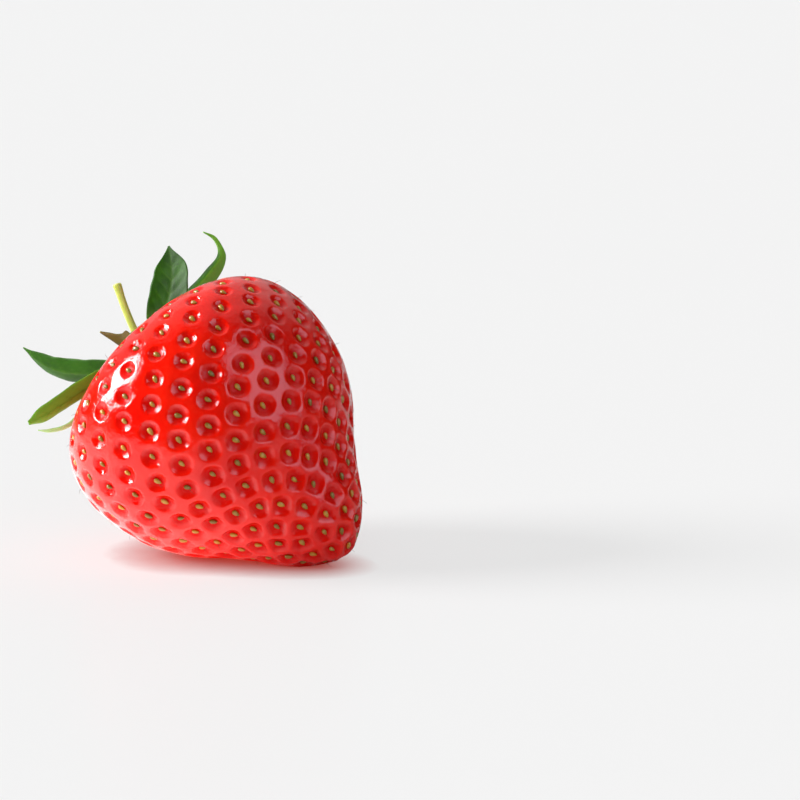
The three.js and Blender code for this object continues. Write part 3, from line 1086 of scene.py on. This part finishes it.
        sheets = []
        for sheet in (upper, lower):
            foot = sheet[0] - outward * (BLADE_START - self.foot_radius)
            sheets.append(np.concatenate([foot[None], sheet]))
        rows, row = self.length_steps + 2, self.width_steps + 1
        under = rows * row
        grid = np.arange(under).reshape(rows, row)
        top = np.stack([grid[:-1, :-1], grid[1:, :-1], grid[1:, 1:], grid[:-1, 1:]], -1).reshape(-1, 4)
        faces = [*top, *(top[:, ::-1] + under)]
        border = [*grid[:, 0], *grid[-1, 1:], *grid[-2::-1, -1], *grid[0, -2:0:-1]]
        for a, b in zip(border, border[1:] + border[:1]):
            faces.append((b, a, a + under, b + under))
        veins = np.concatenate([vein[:1], vein])
        pale = np.maximum(np.clip((along[:, None] - leaf.pale_from) / self.pale_fade, 0, 1),
                          np.clip(leaf.pale_half * reach / self.pale_fade, 0, 1))
        pale = np.concatenate([pale[:1], pale])
        near_foot = np.concatenate([[1], np.clip(1 - length / self.foot_fade, 0, 1)])[:, None]
        foot = near_foot * np.ones((1, row)) * self.foot_paleness
        tags = {"vein": np.tile(veins.ravel(), 2) * self.vein_paleness,
                "under": np.maximum(np.repeat([1.0, 0.0] if leaf.flipped else [0.0, 1.0], under),
                                    np.tile(pale.ravel(), 2)),
                "foot": np.tile(foot.ravel(), 2)}
        points = np.concatenate([sheet.reshape(-1, 3) for sheet in sheets])
        return make_piece(f"{leaf.node}_blade", self.place(points), faces, tags)

    def disc(self) -> bpy.types.Object:
        """Make the lobed green disc between the fruit and the leaves.

        Returns:
            Its mesh object.
        """
        sides, steps = 72, 20
        profile = rounded_line(np.array([(r, 0, z) for r, z in self.disc_profile]),
                               np.linspace(0, 1, steps + 1))
        turns = np.arange(sides) * 2 * math.pi / sides
        points, lobes = [np.array([0, 0, 0])], [0.0]
        for i in range(1, steps):
            radius, height = max(profile[i][0], self.disc_least), profile[i][2]
            swell = 1 + self.disc_lobe * np.cos(self.disc_lobes * turns) * (radius > 1)
            points += list(np.stack([radius * swell * np.cos(turns), radius * swell * np.sin(turns),
                                     np.full(sides, height)], -1))
            lobes += list(0.5 + 0.5 * np.cos(self.disc_lobes * turns))
        points.append(np.array([0, 0, self.disc_profile[-1][1]]))
        lobes.append(0.0)
        shifted = np.array(points) + [0, 0, self.disc_height]
        count = len(points)
        return make_piece("calyx_disc", self.place(shifted), capped_faces(steps - 1, sides),
                          {"vein": np.array(lobes) * self.disc_vein, "under": np.zeros(count),
                           "foot": np.full(count, self.disc_pale)})

    def stalk(self) -> bpy.types.Object:
        """Make the cut stem, faintly ribbed, with a swollen end and a dished cut.

        Returns:
            Its mesh object.
        """
        sides, steps = 28, 40
        along = np.linspace(0, 1, steps + 1)
        anchors = np.array(self.stem_line)
        line = rounded_line(anchors, along)
        tangent = unit(rounded_line(anchors, along + 0.002) - rounded_line(anchors, along - 0.002))
        line[0] -= tangent[0] * self.stem_foot
        side = unit(np.cross(tangent, (0, 1, 0)))
        other = np.cross(tangent, side)
        turns = np.arange(sides) * 2 * math.pi / sides
        ribs = 1 + self.stem_rib * np.cos(self.stem_ribs * turns)
        points, shade = [], []
        for i, t in enumerate(along):
            waist = self.stem_waist * math.sin(math.pi * t)
            swelling = self.stem_end * max(0.0, t - self.stem_end_from) / (1 - self.stem_end_from)
            girth = self.stem_radius * (1 - waist + swelling)
            ring = girth * ribs * (self.stem_rim if i == steps else 1)
            points += list(line[i] + ring[:, None] * circle(sides, side[i], other[i]))
            shade += [self.stem_pale * max(0.0, 1 - t / self.stem_pale_to)] * sides
        for inset, sink in self.stem_cut:
            ring = self.stem_radius * inset * circle(sides, side[-1], other[-1])
            points += list(line[-1] - tangent[-1] * sink + ring)
            shade += [0.0] * sides
        faces = [tuple(reversed(range(sides))), *tube_faces(steps + 3, sides),
                 tuple((steps + 2) * sides + j for j in range(sides))]
        shifted = np.array(points) + [0, 0, self.stem_height]
        count = len(points)
        cut = np.concatenate([np.zeros(count - 3 * sides), np.ones(3 * sides)])
        return make_piece("stem_stalk", self.place(shifted), faces,
                          {"vein": np.tile(self.stem_vein * (1 + np.cos(self.stem_ribs * turns)),
                                           count // sides),
                           "under": cut, "foot": np.array(shade)})

    def build_and_dress(self) -> None:
        """Make every leaf, the disc and the stem, and give each its finish."""
        finishes = {finish: finish.value.material() for finish in Finish}
        slots = {Finish.SEPAL: "sepal_leaf", Finish.BRACTLET: "bractlet_leaf",
                 Finish.DRIED: "dried_leaf", Finish.STEM: "stem_green"}
        for leaf in LEAVES:
            settle_in(self.blade(leaf), finishes[leaf.finish], slots[leaf.finish], leaf.node)
        settle_in(self.disc(), finishes[Finish.SEPAL], slots[Finish.SEPAL], "calyx_base")
        settle_in(self.stalk(), finishes[Finish.STEM], slots[Finish.STEM], "stem")


# ---------------------------------------------------------------- studio
@dataclass(frozen=True)
class Sun:
    """A far soft light: its angles and spread in degrees, and whether matt or glossy surfaces show it."""

    name: str
    side: float
    height: float
    spread: float
    strength: float
    shines: bool = True
    lights: bool = True


@dataclass(frozen=True)
class Studio:
    """A pale table, a pale room behind and above, a dark room in front, a key light and a softbox."""

    pale: str = "#F3F3F3"
    table_white: str = "#7C7C7C"
    # painted bounce light: a lighter grey for light the table bounces than the grey the camera sees
    table_bounce_grey: str = "#C8C8C8"
    table_glow: float = 0.76
    # painted contact shadow: the red that the camera glow turns to near the berry, within this reach in
    # metres
    painted_contact_shadow_red: str = "#B0301E"
    painted_shadow_reach: float = 0.005
    # painted bounce light: glow for rays other than the camera's, strong in a pool left of the berry, dim
    # elsewhere
    bounce_pool_glow: float = 1.5
    bounce_glow_elsewhere: float = 0.12
    pool_place: tuple[float, float, float] = (-0.085, -0.01, 0.0)
    pool_radius: float = 0.09
    pool_fade: float = 0.012
    table_gloss: float = 0.03
    gloss_roughness: float = 0.3
    table_sides: tuple[float, float, float, float] = (-4.0, 4.0, -0.125, 9.0)
    room_light: float = 0.7
    room_dark: float = 0.03
    room_bright_way: tuple[float, float, float] = (-0.12, 0.6, 0.79)
    room_fade: tuple[float, float] = (0.55, 0.85)  # cosine of the angle from room_bright_way
    suns: tuple[Sun, ...] = (
        Sun("key_light", -92, 25, 30, 4.8, shines=False),
        Sun("key_shine", -92, 25, 33, 9.0, lights=False),
        Sun("front_fill", 170, 35, 60, 1.15, shines=False),
    )
    lit_height: float = 0.02
    box_side: float = 124.0
    box_height: float = 29.0
    box_distance: float = 0.5
    box_size: tuple[float, float] = (0.44, 0.5)
    box_radiance: float = 3.5
    box_tint: str = "#D8ECFF"
    eye: tuple[float, float, float] = (0.02627, -0.40963, 0.09557)
    aim: tuple[float, float, float] = (0.02627, 0.00399, 0.02264)
    lens: float = 126.6

    @staticmethod
    def toward(side: float, height: float) -> Vector:
        """Point from the berry to a light.

        Args:
            side: degrees from straight behind the berry, positive to the right.
            height: degrees above level.

        Returns:
            A unit vector.
        """
        a, e = math.radians(side), math.radians(height)
        return Vector((math.sin(a) * math.cos(e), math.cos(a) * math.cos(e), math.sin(e)))

    def table(self) -> None:
        """Lay the pale, slightly glossy table, glowing with painted bounce light and a painted shadow."""
        left, right, front, back = self.table_sides
        corners = np.array([(left, front, 0), (right, front, 0), (right, back, 0), (left, back, 0)])
        table = make_piece("studio_table", corners, [(0, 1, 2, 3)])
        material = bpy.data.materials.new("lit_table")
        material.use_nodes = True
        tree = material.node_tree
        tree.nodes.clear()
        path = add_node(tree, "ShaderNodeLightPath")
        # the camera sees the table's own grey; light bouncing onto the berry gets a lighter grey, painted
        # bounce light
        matt = add_node(tree, "ShaderNodeBsdfDiffuse",
                        links={"Color": mix_colours(tree, path.outputs["Is Camera Ray"],
                                                    linear(self.table_bounce_grey), linear(self.table_white))})
        place = add_node(tree, "ShaderNodeTexCoord").outputs["Object"]
        # a glowing pool seen only by light bouncing onto the berry: painted bounce light from below
        away = add_node(tree, "ShaderNodeVectorMath", operation="DISTANCE", links={"Vector": place})
        away.inputs[1].default_value = self.pool_place
        bounce_pool = add_node(tree, "ShaderNodeMapRange",
                        {"From Min": self.pool_radius - self.pool_fade,
                         "From Max": self.pool_radius + self.pool_fade,
                         "To Min": self.bounce_pool_glow, "To Max": self.bounce_glow_elsewhere},
                        {"Value": away.outputs["Value"]}, interpolation_type="SMOOTHSTEP")
        strength = add_node(tree, "ShaderNodeMapRange", {"To Max": self.table_glow},
                            {"Value": path.outputs["Is Camera Ray"], "To Min": bounce_pool.outputs["Result"]})
        # painted red contact shadow in the camera glow, strongest where the berry is near
        painted_shadow_occlusion = add_node(tree, "ShaderNodeAmbientOcclusion", {"Distance": self.painted_shadow_reach}, samples=12)
        tint = mix_colours(tree, painted_shadow_occlusion.outputs["AO"], linear(self.painted_contact_shadow_red), linear(self.pale))
        glow = add_node(tree, "ShaderNodeEmission",
                        links={"Color": tint, "Strength": strength.outputs["Result"]})
        gloss = add_node(tree, "ShaderNodeBsdfGlossy", {"Roughness": self.gloss_roughness})
        lit = add_node(tree, "ShaderNodeAddShader")
        tree.links.new(matt.outputs[0], lit.inputs[0])
        tree.links.new(glow.outputs[0], lit.inputs[1])
        both = add_node(tree, "ShaderNodeMixShader", {"Fac": self.table_gloss})
        tree.links.new(lit.outputs[0], both.inputs[1])
        tree.links.new(gloss.outputs[0], both.inputs[2])
        add_node(tree, "ShaderNodeOutputMaterial", links={"Surface": both.outputs[0]})
        table.data.materials.append(material)

    def room(self) -> None:
        """Light the room: bright behind and overhead, dark in front, plain pale where it is seen."""
        world = bpy.data.worlds.new("studio_room")
        bpy.context.scene.world = world
        world.use_nodes = True
        tree = world.node_tree
        tree.nodes.clear()
        way = add_node(tree, "ShaderNodeTexCoord").outputs["Generated"]
        toward_back = add_node(tree, "ShaderNodeVectorMath", operation="DOT_PRODUCT",
                               links={"Vector": way})
        toward_back.inputs[1].default_value = self.room_bright_way
        ramp = add_node(tree, "ShaderNodeMapRange",
                        {"From Min": self.room_fade[0], "From Max": self.room_fade[1],
                         "To Min": self.room_dark, "To Max": self.room_light},
                        {"Value": toward_back.outputs["Value"]}, interpolation_type="SMOOTHSTEP")
        walls = add_node(tree, "ShaderNodeBackground", links={"Strength": ramp.outputs["Result"]})
        walls.inputs["Color"].default_value = (1, 1, 1, 1)
        seen = add_node(tree, "ShaderNodeBackground", {"Color": linear(self.pale), "Strength": 1.0})
        path = add_node(tree, "ShaderNodeLightPath")
        both = add_node(tree, "ShaderNodeMixShader", links={"Fac": path.outputs["Is Camera Ray"]})
        tree.links.new(walls.outputs[0], both.inputs[1])
        tree.links.new(seen.outputs[0], both.inputs[2])
        add_node(tree, "ShaderNodeOutputWorld", links={"Surface": both.outputs[0]})

    def lights(self) -> None:
        """Hang the key light on the left, a weak fill in front and the softbox on the right."""
        for sun in self.suns:
            light = bpy.data.lights.new(sun.name, "SUN")
            light.energy = sun.strength
            light.angle = math.radians(sun.spread)
            self.hang(light, self.toward(sun.side, sun.height), shines=sun.shines, lights=sun.lights)
        box = bpy.data.lights.new("right_softbox", "AREA")
        box.shape = "RECTANGLE"
        box.size, box.size_y = self.box_size
        box.color = linear(self.box_tint)[:3]
        box.energy = self.box_radiance * math.pi * box.size * box.size_y
        self.hang(box, self.toward(self.box_side, self.box_height), self.box_distance, lights=False)

    def hang(self, light: bpy.types.Light, way: Vector, distance: float = 1.0,
             shines: bool = True, lights: bool = True) -> None:
        """Place one light and point it at the berry.

        Args:
            light: the light's data.
            way: unit vector from the berry to the light.
            distance: how far away it hangs, in metres.
            shines: whether it shows in glossy surfaces.
            lights: whether it lights matt surfaces.
        """
        lamp = bpy.data.objects.new(light.name, light)
        lamp.location = Vector((0, 0, self.lit_height)) + way * distance
        lamp.rotation_euler = way.to_track_quat("Z", "Y").to_euler()
        lamp.visible_camera = False
        lamp.visible_glossy = shines
        lamp.visible_diffuse = lights
        bpy.context.scene.collection.objects.link(lamp)

    def camera(self) -> None:
        """Stand the camera in front, a little above the berry."""
        data = bpy.data.cameras.new("studio_camera")
        data.lens = self.lens
        data.sensor_width = 36.0
        data.clip_start = 0.01
        camera = bpy.data.objects.new("studio_camera", data)
        camera.location = self.eye
        camera.rotation_euler = (Vector(self.aim) - Vector(self.eye)).to_track_quat("-Z", "Y").to_euler()
        bpy.context.scene.collection.objects.link(camera)
        bpy.context.scene.camera = camera

    def build(self) -> None:
        """Set up the whole studio."""
        self.table()
        self.room()
        self.lights()
        self.camera()
        bpy.context.scene.view_settings.view_transform = "Standard"
        bpy.context.scene.view_settings.look = "None"


def main() -> None:
    """Build the strawberry and its studio."""
    logging.basicConfig(level=logging.INFO, format="%(message)s")
    form = BerryForm()
    pits = Pits(form)
    log.info("%d pits", len(pits.points))
    fruit = Fruit(form, pits)
    fruit.dress(fruit.build())
    achenes = Achenes(form, pits)
    achenes.dress(*achenes.build())
    Calyx(form).build_and_dress()
    Studio().build()


if __name__ == "__main__":
    main()
